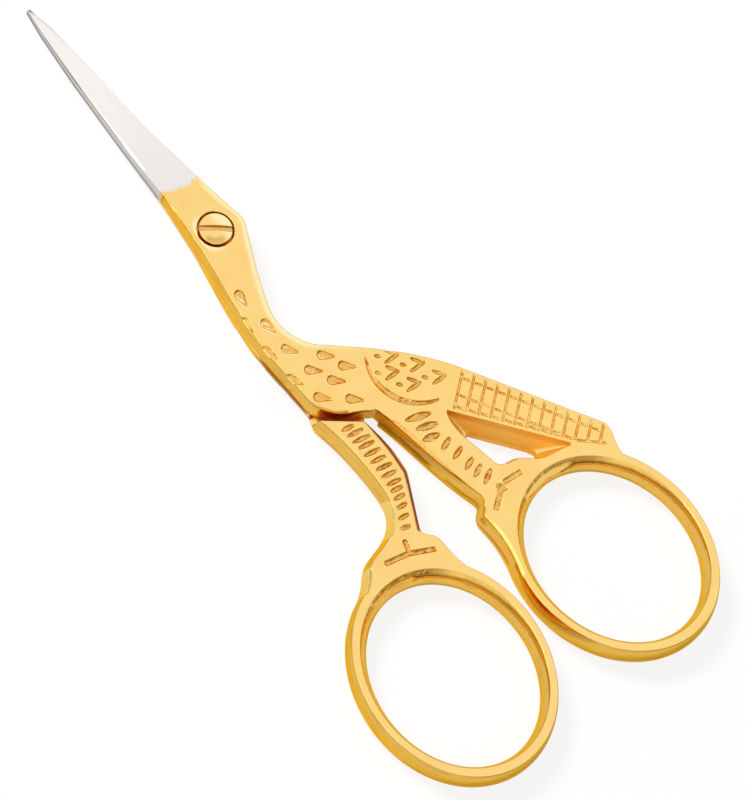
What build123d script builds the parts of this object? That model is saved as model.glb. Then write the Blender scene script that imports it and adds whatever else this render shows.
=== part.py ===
# Stork embroidery scissors: two forged halves lapped over each other and joined by a slotted pivot screw.
# Millimetres. The origin lies on the pivot axis in the plane that the scissors rest on. +Y points to the
# tips, +Z up through the front half, and the front half's finger ring is on the +X side.
from build123d import *
import math
import os

# Lengths along the scissors, measured from the pivot
tip_reach = 29.8
plating_reach = 5.6
nape_reach = 11.4
ring_reach = 49.2

# Width of the head, and thickness
head_width = 5.5
thickness = 3.5

# Swell of the side walls halfway up, where the two forging dies met
neck_swell = 0.15
belly_swell = 0.5
wall_swell = 0.25
foot_swell = 0.5
window_swell = 0.58

# Bevel down one side of each half's head, beside the other half's spine
bevel_width = 0.5

# Finger rings, from the hole's narrowest outline outwards
finger_hole_length = 19.4
finger_hole_width = 16.2
hole_swell = 0.78
hole_shift = 0.3
rim_end_flat = 0.95
rim_side_flat = 0.62
rim_swell = 0.33
ring_lean = 6.9
ring_stagger = 0.36

# How far each ring's middle lies to the side, which leaves a narrow gap between the closed rings
ring_gap = 1.14
ring_spread = (finger_hole_width + ring_gap) / 2 + hole_swell + rim_side_flat + rim_swell

# Clearances between the halves
lap_gap = 0.04
step_gap = 0.08

# Pivot screw
screw_head_diameter = 3.4
screw_head_height = 0.85
screw_dome_height = 0.25
screw_recess_gap = 0.16
screw_seat_gap = 0.02
shank_diameter = 2.0
shank_gap = 0.02
rivet_diameter = 2.7
rivet_height = 0.5
slot_width = 0.55
slot_depth = 0.45
slot_turn = -38.0

# Engraved marks
mark_depth = 0.22
hatch_width = 0.46
tail_line_width = 0.24
band_width = 0.5
drop_length = 2.15
drop_width = 1.0
thigh_mark_width = 0.75
shin_mark_width = 0.55
crescent_width = 0.6
upper_toe_length = 1.55
lower_toe_length = 2.0
toe_width = 0.4
drop_turn = -42
course_inset = 0.25
row_offsets = (1.05, 2.9)
dash_length = 0.8

overrun = 2.0
mid_height = thickness / 2


def neck(x_share, y_share):
    """A place on the head and neck."""
    return (x_share * head_width, y_share * nape_reach)


def body(x_share, y_share):
    """A place on the body, legs and plates, from the pivot down to the rings."""
    return (x_share * ring_spread, -y_share * ring_reach)


def plating_edge(x_share):
    """A place on the edge of the plating, which crosses the neck a little aslant."""
    x = x_share * head_width
    return (x, plating_reach - plating_slant_share * x)


def along(start, end, share):
    """The place a share of the way from one place to another."""
    return (start[0] + (end[0] - start[0]) * share, start[1] + (end[1] - start[1]) * share)


# The plating line, and the sides of the blades where it crosses them
plating_slant_share = 0.13
spine_share = -0.36
back_share = 0.39
bevel_share = bevel_width / head_width
beyond_share = 1.3
ridge_inset_share = 0.06

# Corners that the two halves share
nape_step = body(-0.068, 0.282)
front_step_foot = body(0.12, 0.506)
rear_step_foot = body(0.01, 0.48)
chest_left = body(-0.392, 0.4116)
chest_right = body(0.03, 0.489)
leg_left = body(-0.445, 0.4404)
leg_right = body(-0.103, 0.496)

# The back edge of the tail and the window's edge across from it
back_start = body(0.98, 0.515)
back_end = body(1.765, 0.787)
window_start = body(0.607, 0.576)
window_end = body(1.39, 0.787)


# The outlines run clockwise, seen from above: down the back, round the ring and up the belly. Each
# stretch is its kind, the swell of its wall where it starts and ends, and its points. At the head they
# run on past the plating line, where the forging is trimmed.
def head_and_nape(edge_share, edge_swell, end):
    edge = plating_edge(edge_share)
    crown = neck(0.515, 0.06)
    return [
        ("line", edge_swell, edge_swell, [along(crown, edge, beyond_share), edge]),
        ("line", edge_swell, wall_swell, [edge, crown]),
        ("curve", wall_swell, wall_swell, [crown, neck(0.552, -0.035), neck(0.515, -0.115)]),
        ("line", wall_swell, wall_swell, [neck(0.515, -0.115), neck(0.08, -0.53)]),
        ("curve", wall_swell, wall_swell, [neck(0.08, -0.53), neck(-0.17, -0.82), neck(-0.243, -1.0),
                                           neck(-0.2, -1.13), end]),
    ]


def belly(start, edge_share, edge_swell, other_edge_share):
    edge = plating_edge(edge_share)
    cheek = neck(-0.6, -0.43)
    side = neck(-0.46 + (edge_share - spine_share) / 2, 0)
    far = along(neck(0.515, 0.06), plating_edge(other_edge_share), beyond_share)
    return [
        ("curve", belly_swell, neck_swell, [start, body(-0.4, 0.365), body(-0.41, 0.32),
                                            neck(-0.785, -1.1), neck(-0.72, -0.75), cheek]),
        ("line", neck_swell, edge_swell, [cheek, side, edge]),
        ("line", edge_swell, edge_swell, [edge, along(side, edge, beyond_share), far]),
    ]


def front_outline():
    return head_and_nape(back_share, bevel_width, nape_step) + [
        ("curve", wall_swell, wall_swell, [nape_step, body(-0.02, 0.3), body(0.1, 0.324)]),
        ("curve", wall_swell, wall_swell, [body(0.1, 0.324), body(0.402, 0.379), body(0.6, 0.418),
                                           body(0.79, 0.462), back_start]),
        ("line", wall_swell, wall_swell, [back_start, back_end]),
        ("curve", wall_swell, wall_swell, [back_end, body(1.778, 0.803), body(1.735, 0.832),
                                           body(1.75, 0.88)]),
        ("line", wall_swell, wall_swell, [body(1.75, 0.88), body(1.5, 0.95), body(0.5, 0.95),
                                          body(0.148, 0.906)]),
        ("curve", wall_swell, foot_swell, [body(0.148, 0.906), body(0.2, 0.862), body(0.214, 0.822),
                                           body(0.206, 0.796)]),
        ("curve", foot_swell, wall_swell, [body(0.206, 0.796), body(0.25, 0.78), body(0.305, 0.768),
                                           body(0.319, 0.756)]),
        ("curve", wall_swell, wall_swell, [body(0.319, 0.756), body(0.279, 0.727), body(0.166, 0.601),
                                           body(0.104, 0.523), body(0.075, 0.498)]),
        ("curve", wall_swell, wall_swell, [body(0.075, 0.498), body(0.056, 0.49), chest_right]),
        ("curve", wall_swell, belly_swell, [chest_right, body(-0.13, 0.468), body(-0.244, 0.453),
                                            body(-0.334, 0.431), chest_left]),
    ] + belly(chest_left, spine_share, 0, back_share)


def rear_outline():
    return head_and_nape(back_share + bevel_share, 0, nape_step) + [
        ("line", 0, 0, [nape_step, rear_step_foot, leg_right]),
        ("curve", wall_swell, wall_swell, [leg_right, body(-0.08, 0.54), body(-0.075, 0.58),
                                           body(-0.102, 0.628)]),
        ("line", wall_swell, wall_swell, [body(-0.102, 0.628), body(-0.373, 0.733)]),
        ("curve", wall_swell, wall_swell, [body(-0.373, 0.733), body(-0.375, 0.748), body(-0.308, 0.764),
                                           body(-0.288, 0.79), body(-0.28, 0.82), body(-0.2, 0.876)]),
        ("line", wall_swell, wall_swell, [body(-0.2, 0.876), body(-0.5, 0.95), body(-1.3, 0.95),
                                          body(-1.6, 0.85)]),
        ("curve", wall_swell, foot_swell, [body(-1.6, 0.85), body(-1.42, 0.797), body(-1.2, 0.771),
                                           body(-1.08, 0.752)]),
        ("curve", foot_swell, belly_swell, [body(-1.08, 0.752), body(-0.92, 0.729), body(-0.7, 0.716),
                                            body(-0.53, 0.694), body(-0.44, 0.665), body(-0.4, 0.63),
                                            body(-0.385, 0.58), body(-0.392, 0.52), leg_left]),
        ("line", belly_swell, belly_swell, [leg_left, chest_left]),
    ] + belly(chest_left, spine_share + bevel_share, bevel_width, back_share + bevel_share)


def window_outline():
    """The window between the tail and the right leg, whose walls come in halfway up."""
    return [
        ("line", -window_swell / 2, -window_swell, [window_start, window_end]),
        ("curve", -window_swell, -window_swell, [window_end, body(1.22, 0.778), body(1.0, 0.766),
                                                 body(0.86, 0.743), body(0.7, 0.734), body(0.64, 0.722)]),
        ("curve", -window_swell, -window_swell / 2, [body(0.64, 0.722), body(0.585, 0.66),
                                                     body(0.565, 0.605), window_start]),
    ]


def outline_face(stretches, height, swell_share):
    """The face inside an outline at one height, with its walls swollen by a share of their swell."""
    points = []
    for kind, start_swell, end_swell, places in stretches:
        for i, place in enumerate(places[:-1]):
            along = i / (len(places) - 1)
            points.append((place, start_swell + (end_swell - start_swell) * along))
    moved = []
    count = len(points)
    for i, (place, swell) in enumerate(points):
        before = points[i - 1][0]
        after = points[(i + 1) % count][0]
        into = Vector(place[0] - before[0], place[1] - before[1]).normalized()
        out_of = Vector(after[0] - place[0], after[1] - place[1]).normalized()
        mean = (into + out_of).normalized()
        moved.append(Vector(place[0] - mean.Y * swell * swell_share,
                            place[1] + mean.X * swell * swell_share, height))
    edges = []
    first = 0
    for kind, start_swell, end_swell, places in stretches:
        run = [moved[(first + i) % count] for i in range(len(places))]
        first += len(places) - 1
        if kind == "curve":
            edges.append(Edge.make_spline(run))
        else:
            edges += [Edge.make_line(a, b) for a, b in zip(run, run[1:])]
    return Face(Wire(edges))


def forged(stretches):
    """A forging with a flat top and bottom and walls that swell out to the parting line halfway up."""
    levels = [outline_face(stretches, 0, 0), outline_face(stretches, mid_height, 1),
              outline_face(stretches, thickness, 0)]
    lower = loft(levels[:2], ruled=True)
    upper = loft(levels[1:], ruled=True)
    return lower + upper


def ring_solid(side, flat_length, flat_width, swell, shift):
    """A disc round one finger ring's middle, with its waist swollen and shifted away from the pivot."""
    reach = ring_reach + side * ring_stagger / 2
    middle = Location((side * ring_spread, -reach, 0), (0, 0, side * ring_lean))
    levels = []
    for height, grown, moved in ((0, 0, 0), (mid_height, swell, shift), (thickness, 0, 0)):
        oval = Ellipse(flat_width / 2 + grown, flat_length / 2 + grown)
        levels.append(middle * Pos(0, -moved, height) * oval)
    return loft(levels)


def finger_ring(side):
    """The rim of a finger ring, and the hole to cut through it and the plate that it joins."""
    hole_length = finger_hole_length + 2 * hole_swell
    hole_width = finger_hole_width + 2 * hole_swell
    rim = ring_solid(side, hole_length + 2 * rim_end_flat, hole_width + 2 * rim_side_flat, rim_swell, 0)
    hole = ring_solid(side, hole_length, hole_width, -hole_swell, hole_shift)
    return rim, hole


def prism(points, low, high):
    return extrude(Pos(0, 0, low) * make_face(Polyline(*points, close=True)), high - low)


def front_lap():
    """What the front half leaves free below its neck and chest for the rear half."""
    far = 2 * head_width
    top = plating_reach + overrun
    points = [(-far, top), (far, top), (far, nape_step[1]), nape_step, front_step_foot,
              (-far, front_step_foot[1])]
    return prism(points, -overrun, mid_height + lap_gap / 2)


def rear_lap():
    """What the rear half leaves free above its neck and chest for the front half."""
    far = 2 * ring_spread
    slope = (leg_right[1] - leg_left[1]) / (leg_right[0] - leg_left[0])
    points = [(-far, plating_reach + overrun), (far, plating_reach + overrun),
              (far, leg_left[1] + slope * (far - leg_left[0])),
              (-far, leg_left[1] - slope * (far + leg_left[0]))]
    return prism(points, mid_height - lap_gap / 2, thickness + overrun)


def plating_trim():
    """Everything past the plating line, where the blades take over."""
    far = 2 * head_width
    slant = plating_slant_share * far
    points = [(-far, plating_reach + slant), (far, plating_reach - slant), (far, tip_reach),
              (-far, tip_reach)]
    return prism(points, -overrun, thickness + overrun)


def step_clearance():
    """A thin slice off the rear half's chest, so that the front half's step closes without touching it."""
    points = [(nape_step[0] - step_gap, nape_step[1]), (nape_step[0] + overrun, nape_step[1] + overrun),
              (rear_step_foot[0] + overrun, rear_step_foot[1]), (rear_step_foot[0] - step_gap, rear_step_foot[1])]
    return prism(points, -overrun, mid_height)


def teardrop(blunt, point, width):
    """A drop with a round end at one place and its point at another."""
    run = Vector(point[0] - blunt[0], point[1] - blunt[1])
    radius = width / 2
    length = run.length
    lean = math.acos(radius / (length - radius))
    middle = Vector(*blunt) + run.normalized() * radius
    turn = math.atan2(run.Y, run.X)
    left = middle + Vector(math.cos(turn + lean), math.sin(turn + lean)) * radius
    right = middle + Vector(math.cos(turn - lean), math.sin(turn - lean)) * radius
    tip = Vector(*point)
    return make_face([ThreePointArc(left, Vector(*blunt), right), Line(right, tip), Line(tip, left)])


def leaf(start, end, width, other_width=None):
    """A leaf between two places; its second side can curve the other way, which makes a crescent."""
    other = width if other_width is None else other_width
    a = Vector(*start)
    b = Vector(*end)
    run = (b - a).normalized()
    across = Vector(-run.Y, run.X)
    middle = (a + b) / 2
    return make_face([ThreePointArc(a, middle + across * width / 2, b),
                      ThreePointArc(b, middle - across * other / 2, a)])


def bar(start, end, width):
    """A straight groove between two places."""
    a = Vector(*start)
    b = Vector(*end)
    run = (b - a).normalized()
    across = Vector(-run.Y, run.X) * width / 2
    return make_face(Polyline(a + across, b + across, b - across, a - across, close=True))


def toward(place, degrees, length):
    """The place at a length from another in a direction."""
    turn = math.radians(degrees)
    return (place[0] + length * math.cos(turn), place[1] + length * math.sin(turn))


def drop_marks():
    """The feathers of neck and breast: each place is the drop's blunt end, and its direction in degrees."""
    drop_shares = [(-0.246, 0.1278, -97), (-0.387, 0.1794, -90), (-0.245, 0.2065, -80), (-0.424, 0.2533, -73),
                   (-0.274, 0.2752, -52), (-0.425, 0.3288, -62), (-0.239, 0.3388, -41), (-0.044, 0.3292, -42),
                   (0.055, 0.3722, -41), (-0.125, 0.383, -42), (-0.339, 0.3935, -47), (-0.104, 0.4352, -43)]
    marks = []
    for x_share, y_share, degrees in drop_shares:
        blunt = body(x_share, y_share)
        marks.append(teardrop(blunt, toward(blunt, degrees, drop_length), drop_width))
    return marks


def wing_marks():
    """The crescent round the wing and the bird-foot strokes inside it."""
    crescent_depth_share = 0.36
    start = body(0.382, 0.377)
    end = body(0.72, 0.5525)
    chord = math.hypot(end[0] - start[0], end[1] - start[1])
    outer = 2 * chord * crescent_depth_share
    marks = [leaf(start, end, -outer, outer - 2 * crescent_width)]
    upper_toe_turn = 124
    lower_toe_turn = 178
    heel_turn = (upper_toe_turn + lower_toe_turn) / 2 - 3
    heel_share = 0.7
    tip_shares = [(0.598, 0.4266), (0.743, 0.4715), (0.494, 0.4549), (0.583, 0.4996), (0.833, 0.5187)]
    for x_share, y_share in tip_shares:
        tip = body(x_share, y_share)
        lower_tip = toward(tip, lower_toe_turn - 180, toe_width)
        heel = toward(tip, heel_turn, (upper_toe_length + lower_toe_length) * heel_share)
        marks.append(leaf(tip, toward(tip, upper_toe_turn, upper_toe_length), toe_width))
        marks.append(leaf(lower_tip, toward(tip, lower_toe_turn, lower_toe_length), toe_width))
        marks.append(leaf(heel, toward(heel, drop_turn, upper_toe_length / 2), toe_width))
    return marks


def crossing(place, heading, start, end):
    """Where a line from a place meets the line through two others."""
    run = (end[0] - start[0], end[1] - start[1])
    gap = (start[0] - place[0], start[1] - place[1])
    reach = (gap[0] * run[1] - gap[1] * run[0]) / (heading[0] * run[1] - heading[1] * run[0])
    return (place[0] + heading[0] * reach, place[1] + heading[1] * reach)


def tail_marks():
    """The brickwork of the tail: slanting courses from the back edge, and rows of dashes between them."""
    course_count = 13
    first_share = 0.05
    step_share = 0.0795
    last_share = 0.93
    heading = (-0.8, -0.6)
    border_start = body(1.43, 0.784)
    border_end = body(1.646, 0.8256)
    tops = []
    for i in range(course_count):
        edge = along(back_start, back_end, first_share + i * step_share)
        tops.append((edge[0] + heading[0] * course_inset, edge[1] + heading[1] * course_inset))
    marks = [bar(border_start, border_end, tail_line_width)]
    for i, top in enumerate(tops):
        low = crossing(top, heading, window_start, window_end)
        border = crossing(top, heading, border_start, border_end)
        low = max(along(top, low, last_share), border)
        marks.append(bar(top, low, tail_line_width))
        if i + 1 == course_count:
            break
        middle = along(top, tops[i + 1], 0.5)
        edge_offset = math.dist(middle, crossing(middle, heading, window_start, window_end))
        for offset in row_offsets + (edge_offset * last_share,):
            place = (middle[0] + heading[0] * (offset - course_inset),
                     middle[1] + heading[1] * (offset - course_inset))
            if place[0] < crossing(place, heading, border_start, border_end)[0]:
                continue
            reach = dash_length / 2 / math.dist(top, tops[i + 1])
            ends = [along(place, (place[0] + tops[i + 1][0] - top[0], place[1] + tops[i + 1][1] - top[1]), side)
                    for side in (-reach, reach)]
            marks.append(bar(ends[0], ends[1], tail_line_width))
    return marks


def right_leg_marks():
    """Three leaves lying across the thigh, five down the shin, and the band round the foot."""
    thigh_shares = [((0.2, 0.5429), (0.486, 0.5634)), ((0.226, 0.5708), (0.474, 0.5881)),
                    ((0.208, 0.5971), (0.409, 0.6071))]
    shin_shares = [((0.284, 0.6378), (0.467, 0.624)), ((0.324, 0.6652), (0.501, 0.6531)),
                   ((0.352, 0.6958), (0.514, 0.6842)), ((0.369, 0.7196), (0.531, 0.7052)),
                   ((0.401, 0.7429), (0.582, 0.7237))]
    marks = [leaf(body(*a), body(*b), thigh_mark_width) for a, b in thigh_shares]
    marks += [leaf(body(*a), body(*b), shin_mark_width) for a, b in shin_shares]
    marks.append(bar(body(0.33, 0.797), body(0.5, 0.771), band_width))
    marks.append(bar(body(0.575, 0.7625), body(0.79, 0.7665), band_width))
    marks.append(leaf(body(0.49, 0.758), body(0.56, 0.778), thigh_mark_width))
    return marks


def left_leg_marks():
    """Slanted leaves across the rear half's leg, from the lap down, and the toes and shin of its foot."""
    left_shares = [(-0.365, 0.4844), (-0.358, 0.5), (-0.358, 0.5156), (-0.36, 0.5321), (-0.36, 0.5515),
                   (-0.355, 0.5699), (-0.355, 0.5884), (-0.365, 0.6071), (-0.37, 0.6255), (-0.385, 0.6408),
                   (-0.407, 0.6575), (-0.447, 0.6754), (-0.497, 0.6945), (-0.545, 0.7125)]
    right_shares = [(-0.189, 0.4892), (-0.145, 0.507), (-0.13, 0.5262), (-0.131, 0.5404), (-0.13, 0.5595),
                    (-0.144, 0.5779), (-0.145, 0.597), (-0.16, 0.6145), (-0.177, 0.6334), (-0.21, 0.6472),
                    (-0.25, 0.6618), (-0.293, 0.6787), (-0.35, 0.6987), (-0.415, 0.719)]
    marks = [leaf(body(*left), body(*right), hatch_width) for left, right in zip(left_shares, right_shares)]
    instep = body(-0.63, 0.761)
    marks.append(bar(body(-0.875, 0.7495), instep, band_width))
    marks.append(bar(instep, body(-0.385, 0.787), band_width))
    marks.append(bar(body(-0.572, 0.7345), body(-0.612, 0.762), band_width))
    return marks


def engraved(solid, marks, top, bottom):
    """A forging with its marks cut into its top, its underside or both."""
    shapes = [face.moved(Location((0, 0, thickness - mark_depth))) for face in marks]
    cutters = [extrude(shape, mark_depth + overrun) for shape in shapes]
    if top:
        solid = solid - cutters
    if bottom:
        low = [extrude(face.moved(Location((0, 0, -overrun))), mark_depth + overrun) for face in marks]
        solid = solid - low
    return solid


def screw_recess():
    radius = screw_head_diameter / 2 + screw_recess_gap
    floor = thickness - screw_head_height - screw_seat_gap
    recess = Pos(0, 0, floor) * Cylinder(radius, screw_head_height + overrun,
                                         align=(Align.CENTER, Align.CENTER, Align.MIN))
    bore = Cylinder(shank_diameter / 2 + shank_gap, thickness, align=(Align.CENTER, Align.CENTER, Align.MIN))
    return recess + bore


def rear_bore():
    """The hole that holds the screw in the rear half, countersunk at the back for the peened end."""
    bore = Cylinder(shank_diameter / 2 + shank_gap, thickness, align=(Align.CENTER, Align.CENTER, Align.MIN))
    sink = Cone(rivet_diameter / 2 + shank_gap, shank_diameter / 2 + shank_gap, rivet_height + shank_gap,
                align=(Align.CENTER, Align.CENTER, Align.MIN))
    return bore + sink


def pivot_screw():
    head_low = thickness - screw_head_height
    head = Cylinder(screw_head_diameter / 2, screw_head_height,
                    align=(Align.CENTER, Align.CENTER, Align.MIN))
    dome_radius = ((screw_head_diameter / 2) ** 2 + screw_dome_height ** 2) / (2 * screw_dome_height)
    dome = Pos(0, 0, screw_head_height + screw_dome_height - dome_radius) * Sphere(dome_radius)
    tall = Cylinder(screw_head_diameter / 2, screw_head_height + screw_dome_height,
                    align=(Align.CENTER, Align.CENTER, Align.MIN))
    head = Pos(0, 0, head_low) * (head + (tall & dome))
    slot = Pos(0, 0, thickness + screw_dome_height - slot_depth) * Rot(0, 0, slot_turn) * Box(
        screw_head_diameter + overrun, slot_width, slot_depth + overrun,
        align=(Align.CENTER, Align.CENTER, Align.MIN))
    shank = Cylinder(shank_diameter / 2, head_low, align=(Align.CENTER, Align.CENTER, Align.MIN))
    rivet = Cone(rivet_diameter / 2, shank_diameter / 2, rivet_height,
                 align=(Align.CENTER, Align.CENTER, Align.MIN))
    return head + shank + rivet - slot


def blade_section(y, slant, left, right, bevel, rises, turned):
    """One section of a half blade: flat inside, spine wall, ridge, face and bevel down to the cutting edge."""
    spine_rise, ridge_rise, edge_rise = rises
    base = mid_height + lap_gap / 2
    corners = [(left, base), (left, base + spine_rise),
               (left + ridge_inset_share * head_width * ridge_rise / mid_height, base + ridge_rise),
               (right - bevel, base + edge_rise), (right, base)]
    if turned:
        corners = [(left + right - x, thickness - z) for x, z in corners]
    points = [Vector(x, y - slant * x, z) for x, z in corners]
    return make_face(Polyline(*points, close=True))


def half_blade(turned):
    """A tapering half blade, upper side up with its spine on the left, or turned over for the lower side."""
    station_shares = [(0, spine_share, back_share + bevel_share, 1, 0.97, 1, 1),
                      (0.31, -0.29, 0.34, 0.3, 0.62, 0.76, 0.34), (0.64, -0.182, 0.267, 0.1, 0.42, 0.54, 0.18),
                      (0.885, -0.06, 0.19, 0, 0.28, 0.37, 0.13), (1, 0.024, 0.1, 0, 0.18, 0.24, 0.12)]
    tall = mid_height - lap_gap / 2
    sections = []
    for reach_share, left_share, right_share, bevel_part, *rise_shares in station_shares:
        y = plating_reach + reach_share * (tip_reach - plating_reach)
        slant = 0 if reach_share else plating_slant_share
        rises = [share * tall for share in rise_shares]
        sections.append(blade_section(y, slant, left_share * head_width, right_share * head_width,
                                      bevel_width * bevel_part, rises, turned))
    return loft(sections, ruled=True)


def front_blade():
    return half_blade(False)


def rear_blade():
    return half_blade(True)


def front_handle():
    rim, hole = finger_ring(1)
    handle = forged(front_outline()) + rim - hole - forged(window_outline())
    handle = handle - front_lap() - plating_trim() - screw_recess()
    wing_and_tail = wing_marks() + tail_marks() + right_leg_marks()
    handle = engraved(handle, wing_and_tail, True, True)
    return engraved(handle, drop_marks(), True, False)


def rear_handle():
    rim, hole = finger_ring(-1)
    handle = forged(rear_outline()) + rim - hole
    handle = handle - rear_lap() - step_clearance() - plating_trim() - rear_bore()
    handle = engraved(handle, left_leg_marks(), True, True)
    return engraved(handle, drop_marks(), False, True)


def main():
    os.makedirs("parts", exist_ok=True)
    nodes = {
        "front_blade": front_blade(),
        "front_handle": front_handle(),
        "rear_blade": rear_blade(),
        "rear_handle": rear_handle(),
        "pivot_screw": pivot_screw(),
    }
    for name, solid in nodes.items():
        box = solid.bounding_box()
        print(name, "solids", len(solid.solids()), "volume", round(solid.volume, 3), box)
        export_step(solid, "parts/" + name + ".step")


main()
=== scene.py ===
"""Stork embroidery scissors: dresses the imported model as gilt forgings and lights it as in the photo.

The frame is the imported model's: the pivot at the origin, +Y to the tips, +Z up through the upper half. Meshes
are in metres, and the materials measure in millimetres.
"""
import math

import bpy
import numpy as np
from mathutils import Matrix, Vector, noise
from mathutils.kdtree import KDTree


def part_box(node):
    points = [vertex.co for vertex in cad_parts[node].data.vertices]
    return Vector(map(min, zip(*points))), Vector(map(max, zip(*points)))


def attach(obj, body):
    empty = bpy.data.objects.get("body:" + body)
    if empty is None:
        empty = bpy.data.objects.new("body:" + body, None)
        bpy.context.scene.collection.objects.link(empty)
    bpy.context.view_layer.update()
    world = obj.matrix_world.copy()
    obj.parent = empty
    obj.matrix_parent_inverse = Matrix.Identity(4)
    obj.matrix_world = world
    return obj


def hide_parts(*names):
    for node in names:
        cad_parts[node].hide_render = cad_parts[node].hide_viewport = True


bl_info = {
    "name": "Stork Embroidery Scissors",
    "version": (1, 0, 0),
    "blender": (4, 5, 0),
    "location": "View3D > Sidebar > Scissors",
    "description": "Builds a pair of gilt stork embroidery scissors with a studio round them",
    "category": "Object",
}

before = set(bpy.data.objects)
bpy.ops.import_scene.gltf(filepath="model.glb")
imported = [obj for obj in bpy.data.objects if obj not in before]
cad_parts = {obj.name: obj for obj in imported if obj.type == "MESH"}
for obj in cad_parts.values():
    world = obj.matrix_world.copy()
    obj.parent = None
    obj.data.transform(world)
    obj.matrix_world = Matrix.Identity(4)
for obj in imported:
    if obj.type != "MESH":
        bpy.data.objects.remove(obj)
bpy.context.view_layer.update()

MM = 0.001
PICTURE_HEIGHT = 800

# The forgings' thickness, and the line across the neck where the plating ends and the blades begin
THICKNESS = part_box("front_handle")[1].z
HALF_IN_MM = THICKNESS / MM / 2
PLATING_REACH = 5.6 * MM
PLATING_SLANT = 0.13
PLATING_NORMAL = Vector((PLATING_SLANT, 1, 0)).normalized()
PLATING_LEVEL = PLATING_NORMAL.y * PLATING_REACH

# Where along the scissors their regions go over into each other, in millimetres
NECK_HIGH = -14.0
NECK_LOW = -20.0
LEGS_HIGH = -24.0
TAIL_HIGH = -26.0
FEET_HIGH = -36.0
FEET_LOW = -39.0
RINGS_HIGH = -40.5
# How far to the right the legs reach. The tail lies past it
LEGS_SIDE = 6.0

# How near two places of one mesh are merged, and two at the joint of a forging and its blade
MERGE_REACH = 0.002 * MM
JOINT_REACH = 0.004 * MM
# How much of its blade's foot is rebuilt with a forging, and how far off a wall is still looked for
STUB_REACH = 1.2 * MM
WALL_REACH = 1.0 * MM

# Degrees between two faces past which the edge between them is shaded sharp
FORGING_ANGLE = 65
BLADE_ANGLE = 12
SCREW_ANGLE = 60
# Degrees between two faces up to which a blade's faces are one, and past which their edge is broken
FLAT_ANGLE = 0.5
BROKEN_ANGLE = 20


# Settings
class ForgingSettings(bpy.types.PropertyGroup):
    """Shape of the polished forgings"""
    grain: bpy.props.FloatProperty(
        name="Surface grain", description="Size of the cells that each forging is rebuilt from",
        default=0.085 * MM, unit="LENGTH", precision=6)
    pillow_reach: bpy.props.FloatProperty(
        name="Pillow reach", description="How far from its edges a face starts to fall away",
        default=0.9 * MM, unit="LENGTH", precision=6)
    pillow_drop: bpy.props.FloatProperty(
        name="Pillow drop", description="How far a face falls away at its edges",
        default=0.1 * MM, unit="LENGTH", precision=6)
    stamp_depth: bpy.props.FloatProperty(
        name="Stamp roughness", description="Height of the rough floor in the stamped marks",
        default=0.12 * MM, unit="LENGTH", precision=6)
    edge_passes: bpy.props.IntProperty(
        name="Edge polishing", description="Smoothing passes on the walls and edges", default=12, min=1)
    mark_passes: bpy.props.IntProperty(
        name="Mark polishing", description="Smoothing passes on the stamped faces", default=4, min=1)
    triangle_limit: bpy.props.IntProperty(
        name="Triangles", description="Most triangles that a forging keeps", default=185000, min=10000)
    blade_bevel: bpy.props.FloatProperty(
        name="Blade edge bevel", description="Width of the bevel on the blades' edges",
        default=0.12 * MM, unit="LENGTH", precision=6)


class FinishSettings(bpy.types.PropertyGroup):
    """Colours and polish of the metals, with the colours of their painted reflections, highlights and shade"""
    gold_face: bpy.props.FloatVectorProperty(
        name="Gold faces", description="Colour of the buffed gold on the flats", subtype="COLOR", size=3,
        default=(0.99, 0.68, 0.235))
    # Painted reflection: the lighter gold low on the side walls
    gold_wall_low_reflection: bpy.props.FloatVectorProperty(
        name="Gold walls", description="Colour of the gold low on the side walls", subtype="COLOR", size=3,
        default=(1.0, 0.66, 0.17))
    # Painted reflection: the duller gold high on the side walls
    gold_wall_high_reflection: bpy.props.FloatVectorProperty(
        name="Olive gold", description="Colour of the duller gold high on the side walls", subtype="COLOR",
        size=3, default=(0.92, 0.565, 0.12))
    # Painted shade: brown lines on steep edges and streaks on the walls. The same brown draws the strokes in
    # the legs' marks
    gold_shade_and_strokes: bpy.props.FloatVectorProperty(
        name="Gold rims", description="Colour of the brown lines on steep edges", subtype="COLOR", size=3,
        default=(0.42, 0.23, 0.05))
    # Painted highlight on the filed facets. The same pale gold tints the gold's edges
    gold_highlight_and_edge_tint: bpy.props.FloatVectorProperty(
        name="Highlight gold", description="Colour of the pale facets that were filed by hand", subtype="COLOR",
        size=3, default=(1.0, 0.745, 0.26))
    # Painted highlight where the neck's face falls away to the right
    gold_neck_highlight: bpy.props.FloatVectorProperty(
        name="Pale gold", description="Colour of the highlit gold where the neck's face falls away to the right",
        subtype="COLOR", size=3, default=(1.0, 0.87, 0.47))
    gold_groove: bpy.props.FloatVectorProperty(
        name="Gold grooves", description="Colour of the gold in the stamped marks", subtype="COLOR", size=3,
        default=(0.84, 0.44, 0.085))
    # Painted shade down in the lap's open slot
    seam: bpy.props.FloatVectorProperty(
        name="Lap seam", description="Colour of the shadowed gold down in the lap", subtype="COLOR", size=3,
        default=(0.62, 0.26, 0.1))
    # Painted shade: dark red lines along the legs and the breast, and on the screw's dome and slot
    painted_shade: bpy.props.FloatVectorProperty(
        name="Red_shade", description="Colour of the dark red lines along the legs and the breast",
        subtype="COLOR", size=3, default=(0.28, 0.055, 0.018))
    steel_face: bpy.props.FloatVectorProperty(
        name="Steel faces", description="Colour of the ground steel", subtype="COLOR", size=3,
        default=(0.94, 0.9, 0.855))
    # Painted shade down the blades' spines
    steel_wall_shade: bpy.props.FloatVectorProperty(
        name="Steel spine", description="Colour of the steel down the blades' spines", subtype="COLOR",
        size=3, default=(0.62, 0.61, 0.58))
    # Painted shade: the dark line where the two blades meet
    steel_edge_shade: bpy.props.FloatVectorProperty(
        name="Steel edge", description="Colour of the dark line where the two blades meet", subtype="COLOR",
        size=3, default=(0.12, 0.115, 0.1))
    polish: bpy.props.FloatProperty(
        name="Roughness", description="Roughness of the polished metal", default=0.1, min=0, max=1)


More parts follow.
